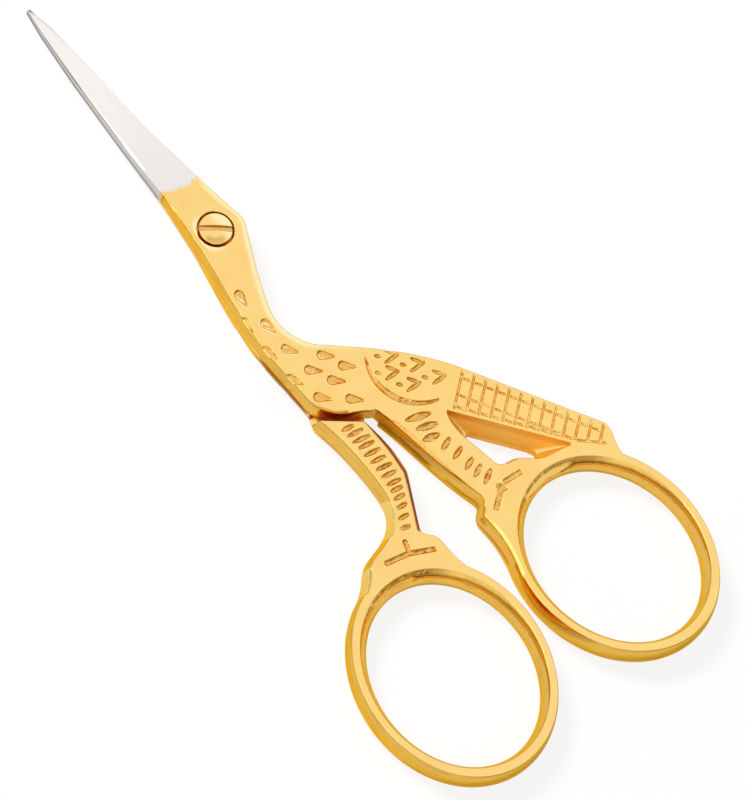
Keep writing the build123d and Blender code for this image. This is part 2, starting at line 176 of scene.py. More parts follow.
class StageSettings(bpy.types.PropertyGroup):
    """Studio round the scissors"""
    floor_size: bpy.props.FloatProperty(
        name="Floor size", description="Side of the floor", default=2.4, unit="LENGTH")
    paper_tone: bpy.props.FloatProperty(
        name="Paper", description="How much of its light the paper gives back to the camera",
        default=0.22, min=0, max=1)
    paper_glow: bpy.props.FloatProperty(
        name="Paper glow", description="Brightness that the camera sees in the paper's shadows",
        default=0.833, min=0)
    mirrored_tone: bpy.props.FloatProperty(
        name="Mirrored paper", description="How much of its light the paper gives back to the metal",
        default=0.62, min=0, max=1)
    mirrored_glow: bpy.props.FloatProperty(
        name="Mirrored glow", description="Brightness that the metal sees in the paper's shadows",
        default=0.36, min=0)
    key_power: bpy.props.FloatProperty(
        name="Key lamp", description="Power of the soft lamp above the tips", default=3.6, unit="POWER")
    sky_level: bpy.props.FloatProperty(
        name="Sky", description="Brightness of the studio's walls as a light", default=0.36, min=0)
    horizon_level: bpy.props.FloatProperty(
        name="Horizon", description="Brightness of the studio's far edge in the metal", default=0.3, min=0)
    shade_level: bpy.props.FloatProperty(
        name="Shaded side", description="Brightness of the side behind the rings in the metal",
        default=0.5, min=0)
    warm_shade: bpy.props.FloatVectorProperty(
        name="Warm shade", description="Tint of the darker parts of the studio in the metal",
        subtype="COLOR", size=3, default=(1.0, 0.74, 0.42))
    window_level: bpy.props.FloatProperty(
        name="Window", description="Brightness that the bright panel at the left adds in the metal",
        default=0.55, min=0)


# Objects and modifiers
def deselect():
    bpy.ops.object.select_all(action="DESELECT")


def take(piece):
    """Makes one object the only selected and active one."""
    deselect()
    piece.select_set(True)
    bpy.context.view_layer.objects.active = piece


def on_whole(piece, operator, **settings):
    """Runs one operator of edit mode on all of an object's mesh."""
    take(piece)
    bpy.ops.object.mode_set(mode="EDIT")
    bpy.ops.mesh.select_all(action="SELECT")
    operator(**settings)
    bpy.ops.object.mode_set(mode="OBJECT")


def as_object(name, mesh):
    piece = bpy.data.objects.new(name, mesh)
    bpy.context.scene.collection.objects.link(piece)
    return piece


def copy_of(node, name):
    """A copy of a CAD node's mesh as a new object, with its loose triangles merged."""
    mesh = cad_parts[node].data.copy()
    mesh.name = name
    mesh.materials.clear()
    piece = as_object(name, mesh)
    on_whole(piece, bpy.ops.mesh.remove_doubles, threshold=MERGE_REACH)
    return piece


def apply_modifier(piece, kind, **settings):
    """Adds one modifier, sets it and applies it."""
    take(piece)
    modifier = piece.modifiers.new(kind.title(), kind)
    for key, value in settings.items():
        setattr(modifier, key, value)
    if bpy.ops.object.modifier_apply(modifier=modifier.name) != {"FINISHED"}:
        raise RuntimeError(f"{kind} couldn't be applied to {piece.name}")


def cut_at_plating(piece, offset):
    """Cuts off a piece's tip end, some way past the plating line, and closes the cut."""
    place = Vector((0, PLATING_REACH, 0)) + PLATING_NORMAL * offset
    on_whole(piece, bpy.ops.mesh.bisect, plane_co=place, plane_no=PLATING_NORMAL, use_fill=True,
             clear_outer=True)


def at_joint(place):
    """Whether a place lies on the plating line's upright plane, where a forging and its blade meet."""
    return abs(place.dot(PLATING_NORMAL) - PLATING_LEVEL) < JOINT_REACH


def open_joint(piece):
    """Takes off the face where a forging and its blade meet."""
    take(piece)
    bpy.ops.object.mode_set(mode="EDIT")
    bpy.ops.mesh.select_mode(type="FACE")
    bpy.ops.mesh.select_all(action="DESELECT")
    bpy.ops.object.mode_set(mode="OBJECT")
    for polygon in piece.data.polygons:
        corners = [piece.data.vertices[index].co for index in polygon.vertices]
        polygon.select = all(at_joint(corner) for corner in corners)
    bpy.ops.object.mode_set(mode="EDIT")
    bpy.ops.mesh.delete(type="FACE")
    bpy.ops.object.mode_set(mode="OBJECT")


def dress(piece, finish_name, finish, nodes, slot, body, angle):
    """Shades a finished piece, gives it its metal and its place in the model."""
    take(piece)
    bpy.ops.object.shade_smooth_by_angle(angle=math.radians(angle))
    piece.data.materials.clear()
    edge_tint = finish.gold_highlight_and_edge_tint if slot == "gold_plate" else (1, 1, 1)
    piece.data.materials.append(plated_steel(finish_name, finish, edge_tint))
    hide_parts(*nodes)
    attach(piece, body)


# The web that the stamping left in the window under the tail, in millimetres: the corners of its border
# with the height of its sloping top there, the top's faces by those corners, and the height of its floor
WINDOW_WEB = (
    (6.25, -27.67, 3.1), (5.7, -29.3, 2.9), (6.64, -31.61, 1.4), (7.26, -31.21, 1.4), (11.06, -36.09, 1.4),
    (11.5, -36.95, 1.5), (10.5, -37.25, 1.5), (12.11, -37.97, 2.6), (15.13, -38.96, 3.1),
)
WEB_FACES = ((0, 8, 4, 3), (0, 3, 2, 1), (8, 5, 4), (8, 7, 5), (7, 6, 5))
WEB_FLOOR = 0.5


def window_web():
    """The web in the window's corners and along the tail, as a closed mesh that reaches into the forging."""
    name = "window_web"
    count = len(WINDOW_WEB)
    corners = [Vector(corner) * MM for corner in WINDOW_WEB]
    corners += [Vector((x, y, WEB_FLOOR)) * MM for x, y, height in WINDOW_WEB]
    faces = list(WEB_FACES) + [[index + count for index in reversed(face)] for face in WEB_FACES]
    for index in range(count):
        after = (index + 1) % count
        faces.append((index, after, after + count, index + count))
    mesh = bpy.data.meshes.new(name)
    mesh.from_pydata(corners, [], faces)
    piece = as_object(name, mesh)
    on_whole(piece, bpy.ops.mesh.normals_make_consistent, inside=False)
    return piece


# Shaping by hand, on a mesh's places as one array
def places_of(piece):
    flat = np.empty(len(piece.data.vertices) * 3, dtype=np.float32)
    piece.data.vertices.foreach_get("co", flat)
    return flat.reshape(-1, 3).astype(np.float64)


def put_places(piece, places):
    piece.data.vertices.foreach_set("co", places.astype(np.float32).ravel())
    piece.data.update()


def soft(low, high, values):
    """A smooth step from 0 at the low value to 1 at the high one."""
    share = np.clip((values - low) / (high - low), 0, 1)
    return share * share * (3 - 2 * share)


def past_plating(places):
    return places[:, 1] + PLATING_SLANT * places[:, 0] - PLATING_REACH


# How far a strip fades out where it doesn't say, and above and below its heights
STRIP_FADE = 0.3


def strip_share(places, strip):
    """1 on a strip along a line seen from above and between two heights, fading out past its borders."""
    reach = np.full(len(places), np.inf)
    corners = np.array(strip["line"]) * MM
    for start, end in zip(corners, corners[1:]):
        way = end - start
        along = np.clip((places[:, :2] - start) @ way / (way @ way), 0, 1)
        nearest = start + along[:, None] * way
        reach = np.minimum(reach, np.hypot(*(places[:, :2] - nearest).T))
    width = strip["width"] * MM
    low = strip["low"] * MM
    high = strip["high"] * MM
    share = strip.get("share", 1) * (1 - soft(width, width + strip.get("fade", STRIP_FADE) * MM, reach))
    share *= soft(low - STRIP_FADE * MM, low, places[:, 2])
    return share * (1 - soft(high, high + STRIP_FADE * MM, places[:, 2]))


def store(piece, name, shares):
    """Stores one number for each place of a mesh, for its metal to read."""
    layer = piece.data.attributes.new(name, "FLOAT", "POINT")
    layer.data.foreach_set("value", shares.astype(np.float32))


def paint_strips(piece, places, strips):
    """Stores on a mesh where its filed facets get a painted highlight, where painted shade goes and where the
    gold is left matte.
    """
    for tone in ("filed", "painted_shade", "matte"):
        shares = np.zeros(len(places))
        for strip in strips:
            if strip["tone"] == tone:
                shares = np.maximum(shares, strip_share(places, strip))
        store(piece, tone, shares)


def wall_distances(piece, places):
    """How far each place lies, seen from above, from an upright wall in its own half of the thickness."""
    normals = np.empty(len(places) * 3, dtype=np.float32)
    piece.data.vertices.foreach_get("normal", normals)
    most_upward = 0.5
    inset = 0.4 * MM
    upright = np.abs(normals.reshape(-1, 3)[:, 2]) < most_upward
    is_wall = upright & (places[:, 2] > inset) & (places[:, 2] < THICKNESS - inset)
    is_upper = places[:, 2] > THICKNESS / 2
    distances = np.full(len(places), WALL_REACH)
    distances[is_wall] = 0
    for in_half in (is_upper, ~is_upper):
        walls = places[is_wall & in_half]
        tree = KDTree(len(walls))
        for index, place in enumerate(walls):
            tree.insert((place[0], place[1], 0), index)
        tree.balance()
        for index in np.nonzero(in_half & ~is_wall)[0]:
            found = tree.find((places[index][0], places[index][1], 0))
            distances[index] = min(WALL_REACH, found[2])
    return distances


def inland(distances):
    """1 on the faces and 0 on the walls and their edges."""
    return soft(0.1 * MM, 0.25 * MM, distances)


def pillow(places, distances, forging):
    """Lets the flats fall away a little at their edges, most on the neck, as buffing leaves them."""
    share = 1 - np.clip(distances / forging.pillow_reach, 0, 1)
    below_neck = 0.3
    before_blade = 1.5 * MM
    outer_depth = 0.4 * MM
    inner_depth = 0.7 * MM
    neck_highlight = soft(NECK_LOW * MM, NECK_HIGH * MM, places[:, 1])
    strength = soft(FEET_LOW * MM, FEET_HIGH * MM, places[:, 1]) * (below_neck + (1 - below_neck) * neck_highlight)
    strength *= 1 - soft(-before_blade, 0, past_plating(places))
    near_top = soft(THICKNESS - inner_depth, THICKNESS - outer_depth, places[:, 2])
    near_bottom = 1 - soft(outer_depth, inner_depth, places[:, 2])
    places[:, 2] += forging.pillow_drop * share * share * strength * (near_bottom - near_top)


# How far beside a chamfer's line its edge may run, at any height
CHAMFER_REACH = {"width": 0.4, "low": 0, "high": 5}


def file_edge(places, distances, chamfer):
    """Files a chamfer into the upper edge beside a line, fading out at its ends."""
    near = strip_share(places, {"line": chamfer["line"], **CHAMFER_REACH})
    share = np.clip(1 - distances / (chamfer["width"] * MM), 0, 1)
    height = np.clip(places[:, 2] / THICKNESS, 0, 1)
    places[:, 2] -= chamfer["depth"] * MM * near * share * height ** 2


def roughen_marks(places, distances, forging):
    """Gives the floors of the stamped marks their uneven, chiselled look."""
    depth = np.minimum(THICKNESS - places[:, 2], places[:, 2])
    in_mark = soft(0.1 * MM, 0.18 * MM, depth) * (1 - soft(0.24 * MM, 0.3 * MM, depth))
    in_mark *= inland(distances) * soft(RINGS_HIGH * MM, (RINGS_HIGH + 1) * MM, places[:, 1])
    for index in np.nonzero(in_mark > 0)[0]:
        x, y, z = places[index] / MM
        ripple = noise.noise(Vector((x * 3.2 + y * 1.6, y * 1.2 - x * 0.6, z * 0.5)))
        on_legs = y < LEGS_HIGH and x < LEGS_SIDE
        # Strokes across the legs, and a fine grain elsewhere
        if on_legs:
            ripple += 1.2 * noise.noise(Vector((x * 0.9, y * 4.5, z)))
        else:
            ripple += 0.5 * noise.noise(Vector((x * 6.5, y * 6.5, z)))
        lift = forging.stamp_depth * ripple * in_mark[index]
        places[index, 2] += lift if z * MM > THICKNESS / 2 else -lift


# Where the upper edges were filed by hand: lines seen from above, widths and depths, in millimetres
FRONT_CHAMFERS = (
    {"line": ((-1.3, 5.0), (-2.1, 2.6), (-3.3, -5.3), (-4.2, -10.8)), "width": 0.34, "depth": 0.24},
    {"line": ((1.2, -26.6), (1.8, -31.5), (2.5, -37.2)), "width": 0.5, "depth": 0.32},
    {"line": ((2.5, -38.6), (2.3, -42.0), (1.7, -46.0)), "width": 0.5, "depth": 0.32},
    {"line": ((7.2, -39.6), (10.0, -39.2), (12.8, -39.6)), "width": 0.45, "depth": 0.35},
    {"line": ((-4.2, -20.4), (-2.0, -22.4)), "width": 0.4, "depth": 0.3},
)
REAR_CHAMFERS = (
    {"line": ((-5.3, -32.3), (-6.6, -34.4)), "width": 0.45, "depth": 0.45},
    {"line": ((-11.0, -36.8), (-12.1, -37.7)), "width": 0.5, "depth": 0.45},
    {"line": ((-8.0, -39.4), (-10.0, -38.9), (-12.0, -39.2)), "width": 0.4, "depth": 0.3},
)

# Where the filed facets get a painted highlight, where painted shade goes in dark red lines and where the gold
# is
# left matte: lines seen from above, widths and heights, in millimetres. The matte strip is the window's far
# wall. The screw has painted shade in a crescent on its dome and in its slot
FRONT_STRIPS = (
    {"tone": "filed", "line": ((7.0, -39.7), (8.5, -39.3), (10.4, -39.2), (12.9, -39.7)), "width": 0.4,
     "low": 2.5, "high": 3.6},
    {"tone": "painted_shade", "line": ((1.0, -26.2), (1.5, -30.0)), "width": 0.9, "fade": 1.2,
     "low": 0.9, "high": 2.0, "share": 0.8},
    {"tone": "painted_shade", "line": ((2.2, -34.5), (2.5, -38.0), (2.0, -43.0)), "width": 0.9,
     "low": 1.5, "high": 1.7, "share": 0.6},
    {"tone": "painted_shade", "line": ((-3.3, -12.0), (-4.0, -15.5), (-4.6, -20.2)), "width": 0.9,
     "low": 1.6, "high": 1.8},
    {"tone": "painted_shade", "line": ((-5.2, -20.2), (-3.6, -21.2)), "width": 0.3, "fade": 0.2,
     "low": 1.6, "high": 1.8},
    {"tone": "matte", "line": ((8.0, -31.5), (12.5, -36.5)), "width": 2.6, "low": 0, "high": 3.3},
)
REAR_STRIPS = (
    {"tone": "filed", "line": ((-5.3, -32.3), (-6.6, -34.4)), "width": 0.7,
     "low": 0, "high": 3.6},
    {"tone": "filed", "line": ((-10.9, -36.8), (-12.2, -37.8)), "width": 0.6, "low": 0, "high": 3.6},
    {"tone": "painted_shade", "line": ((-3.3, -12.0), (-4.0, -15.5), (-4.5, -18.9)), "width": 0.9,
     "low": 0.5, "high": 1.7},
    {"tone": "painted_shade", "line": ((-5.2, -20.2), (-3.6, -21.2)), "width": 0.1, "fade": 0.15,
     "low": 1.4, "high": 1.7},
    {"tone": "painted_shade", "line": ((-1.0, -24.5), (-1.0, -28.2), (-1.3, -30.8), (-1.9, -32.1), (-4.1, -36.2)),
     "width": 0.1, "fade": 0.12, "low": 2.6, "high": 3.6},
)
SCREW_STRIPS = (
    {"tone": "painted_shade", "line": ((-1.3, -0.5), (-0.95, -0.95), (-0.3, -1.25)), "width": 0.05, "fade": 0.5,
     "low": 3.5, "high": 4.0, "share": 0.35},
    {"tone": "painted_shade", "line": ((0.0, 0.0), (0.0, 0.0001)), "width": 1.7, "fade": 0.1,
     "low": 2.9, "high": 3.28, "share": 0.35},
)


def polish(piece, name, weights, passes):
    """Smooths a mesh where its weights say."""
    group = piece.vertex_groups.new(name=name)
    least = 0.001
    for index in np.nonzero(weights > least)[0]:
        group.add([int(index)], float(weights[index]), "REPLACE")
    apply_modifier(piece, "SMOOTH", factor=0.5, iterations=passes, vertex_group=name)
    piece.vertex_groups.clear()


# Shader nodes
class Link:
    """One output of a shader node. Used in a Python expression, it adds the Math nodes."""

    def __init__(self, shader, socket):
        self.shader = shader
        self.socket = socket

    def maths(self, operation, *values):
        return self.shader.add("ShaderNodeMath", {"operation": operation}, dict(enumerate(values)))

    def __add__(self, other):
        return self.maths("ADD", self, other)

    def __radd__(self, other):
        return self.maths("ADD", other, self)

    def __sub__(self, other):
        return self.maths("SUBTRACT", self, other)

    def __rsub__(self, other):
        return self.maths("SUBTRACT", other, self)

    def __mul__(self, other):
        return self.maths("MULTIPLY", self, other)

    def __rmul__(self, other):
        return self.maths("MULTIPLY", other, self)

    def __abs__(self):
        return self.maths("ABSOLUTE", self)


class Shader:
    """Builds the nodes of one material or world."""

    def __init__(self, owner, end):
        self.owner = owner
        self.owner.use_nodes = True
        self.tree = owner.node_tree
        self.tree.nodes.clear()
        self.end = self.tree.nodes.new(end)

    def add(self, kind, settings=None, values=None, output=0):
        """A node with its settings, then the values or links of its sockets. Gives back one output."""
        node = self.tree.nodes.new(kind)
        for key, value in (settings or {}).items():
            setattr(node, key, value)
        for key, value in (values or {}).items():
            if isinstance(value, Link):
                self.tree.links.new(value.socket, node.inputs[key])
            else:
                node.inputs[key].default_value = value
        return Link(self, node.outputs[output])

    def blend(self, share, first, second):
        """One colour going over to another."""
        return self.add("ShaderNodeMix", {"data_type": "RGBA"}, {0: share, 6: first, 7: second}, output=2)

    def painted(self, name):
        """A number stored on the mesh."""
        return self.add("ShaderNodeAttribute", {"attribute_name": name}, output=2)

    def step(self, low, high, value):
        """A soft step from 0 to 1."""
        return self.add("ShaderNodeMapRange", {"interpolation_type": "SMOOTHSTEP"},
                        {0: value, 1: low, 2: high, 3: 0.0, 4: 1.0})

    def split(self, vector):
        """The three numbers of a vector."""
        first = self.add("ShaderNodeSeparateXYZ", None, {0: vector})
        return [Link(self, output) for output in first.socket.node.outputs]

    def cloud(self, place, scale, detail=3.0, stretch=(1.0, 1.0, 1.0)):
        """Soft noise, drawn out along the axes where a stretch is given."""
        if stretch != (1.0, 1.0, 1.0):
            place = self.add("ShaderNodeMapping", None, {"Vector": place, "Scale": stretch})
        return self.add("ShaderNodeTexNoise", None, {"Vector": place, "Scale": scale, "Detail": detail})

    def toward(self, direction, target):
        """How nearly a direction points at a target: 1 when straight at it."""
        aim = Vector(target).normalized()
        return self.add("ShaderNodeVectorMath", {"operation": "DOT_PRODUCT"},
                        {0: direction, 1: aim}, output=1)

    def finish(self, surface):
        self.tree.links.new(surface.socket, self.end.inputs["Surface"])
        return self.owner


def new_material(name):
    return Shader(bpy.data.materials.new(name), "ShaderNodeOutputMaterial")


def colour(rgb):
    return (rgb[0], rgb[1], rgb[2], 1.0)


# Metals
class Spot:
    """What the metals go by at each spot: its place in millimetres, its slope, its region and its noises."""

    def __init__(self, shader):
        object_place = shader.add("ShaderNodeTexCoord", output=3)
        self.place = shader.add("ShaderNodeVectorMath", {"operation": "SCALE"}, {0: object_place, 3: 1 / MM})
        self.x, self.y, self.z = shader.split(self.place)
        normal = shader.split(shader.add("ShaderNodeTexCoord", output=1))
        self.aside = normal[0]
        self.level = abs(normal[2])
        self.flatness = shader.step(0.6, 0.97, self.level)
        self.off_middle = abs(self.z - HALF_IN_MM)

        below_breast = 1 - shader.step(LEGS_HIGH - 1, LEGS_HIGH + 1, self.y)
        below_wing = 1 - shader.step(TAIL_HIGH - 1, TAIL_HIGH + 1, self.y)
        self.on_legs = below_breast * (1 - shader.step(LEGS_SIDE - 0.5, LEGS_SIDE + 0.5, self.x))
        self.on_tail = shader.step(LEGS_SIDE, LEGS_SIDE + 2, self.x) * below_wing
        self.on_rings = 1 - shader.step(RINGS_HIGH, RINGS_HIGH + 2, self.y)

        self.cloud = shader.cloud(self.place, 0.4)
        self.mottle = shader.cloud(self.place, 2.4, 4.0)
        self.streaks = shader.cloud(self.place, 1.3, 5.0, (1.0, 0.12, 1.0))


def plating_mask(shader, spot):
    """1 on bare steel and 0 on gold. The edge of the plating wavers and is soft, as the bath left it."""
    past = spot.y + spot.x * PLATING_SLANT - PLATING_REACH / MM
    bow = 0.13 * (spot.x - 0.3) * (spot.x - 0.3) - 0.22
    return shader.step(-0.2, 0.22, past - bow + (spot.mottle - 0.5) * 0.3)


def mark_mask(shader, spot):
    """1 down in the stamped marks of either face, and nothing on walls and rings."""
    above_floor = shader.step(HALF_IN_MM - 0.36, HALF_IN_MM - 0.3, spot.off_middle)
    below_face = 1 - shader.step(HALF_IN_MM - 0.15, HALF_IN_MM - 0.04, spot.off_middle)
    return above_floor * below_face * shader.painted("inland") * (1 - spot.on_rings)


def lap_shade_mask(shader, spot):
    """1 in the open slot of the lap, between the stork's breast and the other half's leg, where shade is
    painted.
    """
    along = spot.x * 0.85 - spot.y * 0.53
    across = spot.x * 0.53 + spot.y * 0.85
    in_width = shader.step(-21.3, -21.0, across) * (1 - shader.step(-19.6, -19.2, across))
    in_length = shader.step(7.5, 7.9, along) * (1 - shader.step(11.9, 12.4, along))
    below_top = 1 - shader.step(HALF_IN_MM + 0.7, HALF_IN_MM + 1.3, spot.z)
    in_upper_half = shader.step(HALF_IN_MM - 0.2, HALF_IN_MM - 0.05, spot.z)
    return in_width * in_length * below_top * in_upper_half


def rim_shade_mask(shader, spot):
    """1 on the steep edges just under either face, where brown lines of shade are painted, weaker on the tail
    and the rings.
    """
    steep = 1 - shader.step(0.6, 0.88, spot.level)
    under_face = shader.step(HALF_IN_MM - 0.28, HALF_IN_MM - 0.2, spot.off_middle)
    return steep * under_face * (1 - spot.on_tail * 0.8) * (1 - spot.on_rings * 0.6)


def painted_wall_reflection(shader, spot, finish):
    """Painted reflection on the walls: the gold in long streaks, duller above and lighter below, as the studio
    would mirror in them.
    """
    wobble = shader.cloud(spot.place, 0.35, 2.0, (1.0, 1.0, 0.35))
    streak = shader.cloud(spot.place, 1.2, 3.0, (0.3, 0.3, 3.0))
    height = spot.z + (wobble - 0.5) * 1.6 + (streak - 0.5) * 0.8
    tone = shader.blend(shader.step(1.0, 1.7, height), colour(finish.gold_wall_low_reflection), colour(finish.gold_wall_high_reflection))
    return shader.blend((streak - 0.52) * 2.0, tone, colour(finish.gold_shade_and_strokes))


def gold_colour(shader, spot, finish, mark, lap, matte):
    """The plating, deeper in marks, with painted reflections on its walls, painted shade in brown rims, dark
    red strips and the lap, and painted highlights on the filed facets and the neck's right slope.
    """
    scratch = shader.cloud(spot.place, 4.5, 2.0, (0.2, 1.0, 1.0))
    filed = shader.step(0.3, 0.6, shader.painted("filed") + (spot.mottle - 0.5) * 0.8)
    falls_right = shader.step(0.0, 0.12, spot.aside) * spot.flatness
    in_clouds = (spot.cloud - 0.38) * 0.5
    in_marks = mark * (0.3 + spot.mottle) * (1 - spot.on_tail * 0.65)
    in_strokes = mark * spot.on_legs * (scratch - 0.5) * 3.0
    # Painted shade: brown lines on the steep edges under the faces
    rim_shade = rim_shade_mask(shader, spot) * 0.35
    # Painted highlight on the filed facets
    facet_highlight = filed * (1 - spot.flatness) * 0.8
    # Painted highlight where the neck's face falls away to the right
    neck_highlight = falls_right * shader.step(NECK_LOW, NECK_HIGH, spot.y) * 0.9

    # Painted reflection on the walls, and the buffed gold on the flats
    gold = shader.blend(spot.flatness, painted_wall_reflection(shader, spot, finish), colour(finish.gold_face))
    layers = (
        (in_clouds, finish.gold_groove),
        (in_marks, finish.gold_groove),
        (in_strokes, finish.gold_shade_and_strokes),
        (matte, finish.gold_wall_low_reflection),
        (rim_shade, finish.gold_shade_and_strokes),
        (facet_highlight, finish.gold_highlight_and_edge_tint),
        (neck_highlight, finish.gold_neck_highlight),
        # Painted shade in the dark red strips
        (shader.painted("painted_shade"), finish.painted_shade),
        # Painted shade down in the lap
        (lap, finish.seam),
    )
    for share, tone in layers:
        gold = shader.blend(share, gold, colour(tone))
    return gold


def steel_colour(shader, spot, finish):
    """The ground steel with its grinding streaks, with painted shade on its spines, towards its foot and where
    the blades meet.
    """
    streak_steel = colour([part * 0.8 for part in finish.steel_face])
    # Painted shade: the steel darker towards its foot
    foot_shade_steel = colour([part * 0.86 for part in finish.steel_face])
    near_foot = 1 - shader.step(6.0, 20.0, spot.y)
    # Painted shade along the edge where the two blades meet
    inner_edge_shade = (1 - shader.step(0.16, 0.42, spot.off_middle)) * (1 - shader.step(0.9, 0.99, spot.level))
    # Painted shade on the spines, and the ground steel on the faces
    steel = shader.blend(spot.flatness, colour(finish.steel_wall_shade), colour(finish.steel_face))
    steel = shader.blend((spot.streaks - 0.45) * 0.7, steel, streak_steel)
    steel = shader.blend(near_foot * spot.flatness * 0.6, steel, foot_shade_steel)
    return shader.blend(inner_edge_shade * 0.8, steel, colour(finish.steel_edge_shade))


def plated_steel(name, finish, edge_tint):
    """Polished steel, gold plated up to the plating line."""
    shader = new_material(name)
    spot = Spot(shader)
    mark = mark_mask(shader, spot)
    # Painted shade in the lap's open slot
    lap = lap_shade_mask(shader, spot)
    bare = plating_mask(shader, spot)
    matte = shader.painted("matte") * (1 - spot.flatness)
    gold = gold_colour(shader, spot, finish, mark, lap, matte)
    surface = shader.blend(bare, gold, steel_colour(shader, spot, finish))

    rough = finish.polish - (1 - spot.flatness) * 0.03 + (spot.mottle - 0.5) * 0.05
    rough = rough + mark * 0.12 + bare * 0.05 + matte * 0.5 + lap * 0.35
    grain = shader.cloud(spot.place, 18.0)
    stipple = shader.cloud(spot.place, 6.0, 2.0)
    bump = grain * 0.04 + spot.streaks * bare * 0.1 + stipple * mark + spot.mottle * 0.12 + spot.cloud * 0.4
    relief = shader.add("ShaderNodeBump", None, {"Strength": 0.5, "Distance": 0.06 * MM, "Height": bump})
    metal = shader.add("ShaderNodeBsdfPrincipled", None, {
        "Base Color": surface, "Metallic": 1.0, "Roughness": rough, "Normal": relief,
        "Specular Tint": colour(edge_tint)})
    return shader.finish(metal)


# Pieces
def polished_forging(node, blade_node, name, body, chamfers, strips, extras, forging, finish):
    """One handle: rebuilt in fine cells together with its blade's foot, shaped, polished and cut off."""
    piece = copy_of(node, name)
    stub = copy_of(blade_node, name + "_stub")
    open_joint(piece)
    open_joint(stub)
    cut_at_plating(stub, STUB_REACH)
    deselect()
    for part in [stub, piece] + extras:
        part.select_set(True)
    bpy.context.view_layer.objects.active = piece
    bpy.ops.object.join()
    on_whole(piece, bpy.ops.mesh.remove_doubles, threshold=JOINT_REACH)
    apply_modifier(piece, "REMESH", mode="VOXEL", voxel_size=forging.grain)

    places = places_of(piece)
    distances = wall_distances(piece, places)
    pillow(places, distances, forging)
    roughen_marks(places, distances, forging)
    for chamfer in chamfers:
        file_edge(places, distances, chamfer)
    put_places(piece, places)

    below_blade = 1 - soft(-0.7 * MM, -0.2 * MM, past_plating(places))
    near_wall = 1 - soft(0.3 * MM, 0.55 * MM, distances)
    polish(piece, "edges", near_wall * below_blade, forging.edge_passes)
    polish(piece, "all", below_blade, forging.mark_passes)
    count = sum(len(polygon.vertices) - 2 for polygon in piece.data.polygons)
    if count > forging.triangle_limit:
        apply_modifier(piece, "DECIMATE", ratio=forging.triangle_limit / count)
    cut_at_plating(piece, 0)
    places = places_of(piece)
    store(piece, "inland", inland(wall_distances(piece, places)))
    paint_strips(piece, places, strips)
    dress(piece, name + "_finish", finish, [node], "gold_plate", body, FORGING_ANGLE)
    return piece


def ground_blade(node, name, body, forging, finish):
    """One half blade: the ground steel with its edges just broken, but not where it runs into the forging."""
    piece = copy_of(node, name)
    on_whole(piece, bpy.ops.mesh.dissolve_limited, angle_limit=math.radians(FLAT_ANGLE))
    bpy.ops.object.mode_set(mode="EDIT")
    bpy.ops.mesh.select_all(action="DESELECT")
    bpy.ops.mesh.select_mode(type="EDGE")
    bpy.ops.mesh.edges_select_sharp(sharpness=math.radians(BROKEN_ANGLE))
    bpy.ops.object.mode_set(mode="OBJECT")
    weights = piece.data.attributes.new("bevel_weight_edge", "FLOAT", "EDGE")
    for edge in piece.data.edges:
        joined = all(at_joint(piece.data.vertices[index].co) for index in edge.vertices)
        weights.data[edge.index].value = 1.0 if edge.select and not joined else 0.0
    apply_modifier(piece, "BEVEL", width=forging.blade_bevel, segments=2, limit_method="WEIGHT")
    dress(piece, name + "_finish", finish, [node], "blade_steel", body, BLADE_ANGLE)
    return piece


def slotted_screw(forging, finish):
    """The pivot screw, its dome, slot and rims softened by polishing."""
    piece = copy_of("pivot_screw", "slotted_screw")
    finer_grain = forging.grain / 2
    passes = 4
    apply_modifier(piece, "REMESH", mode="VOXEL", voxel_size=finer_grain)
    polish(piece, "all", np.ones(len(piece.data.vertices)), passes)
    paint_strips(piece, places_of(piece), SCREW_STRIPS)
    dress(piece, "screw_finish", finish, ["pivot_screw"], "gold_plate", "rear", SCREW_ANGLE)
    return piece


class SCISSORS_OT_forgings(bpy.types.Operator):
    """Build the two gilt handle forgings"""
    bl_idname = "scissors.forgings"
    bl_label = "Forgings"

    def execute(self, context):
        forging = context.scene.scissors_forging
        finish = context.scene.scissors_finish
        polished_forging("front_handle", "front_blade", "front_forging", "front",
                         FRONT_CHAMFERS, FRONT_STRIPS, [window_web()], forging, finish)
        polished_forging("rear_handle", "rear_blade", "rear_forging", "rear",
                         REAR_CHAMFERS, REAR_STRIPS, [], forging, finish)
        return {"FINISHED"}


class SCISSORS_OT_blades(bpy.types.Operator):
    """Build the two ground half blades"""
    bl_idname = "scissors.blades"
    bl_label = "Blades"

    def execute(self, context):
        forging = context.scene.scissors_forging
        finish = context.scene.scissors_finish
        ground_blade("front_blade", "upper_blade", "front", forging, finish)
        ground_blade("rear_blade", "lower_blade", "rear", forging, finish)
        return {"FINISHED"}


class SCISSORS_OT_screw(bpy.types.Operator):
    """Build the slotted pivot screw"""
    bl_idname = "scissors.screw"
    bl_label = "Pivot screw"

    def execute(self, context):
        slotted_screw(context.scene.scissors_forging, context.scene.scissors_finish)
        return {"FINISHED"}


# Studio
# How far the floor lies under the scissors
FLOOR_GAP = 0.02 * MM
# The directions of the studio's shaded side, behind the rings, and of the bright panel at the left
SHADED_SIDE = (0.13, -0.93, 0.36)
LEFT_WINDOW = (-0.75, 0.35, 0.5)
# The soft lamp above the tips: where it hangs, what it shines at and how wide it is, in metres
KEY_PLACE = (-0.1, 0.5, 0.6)
KEY_AIM = (0, -0.02, 0)
KEY_SIZE = 0.3


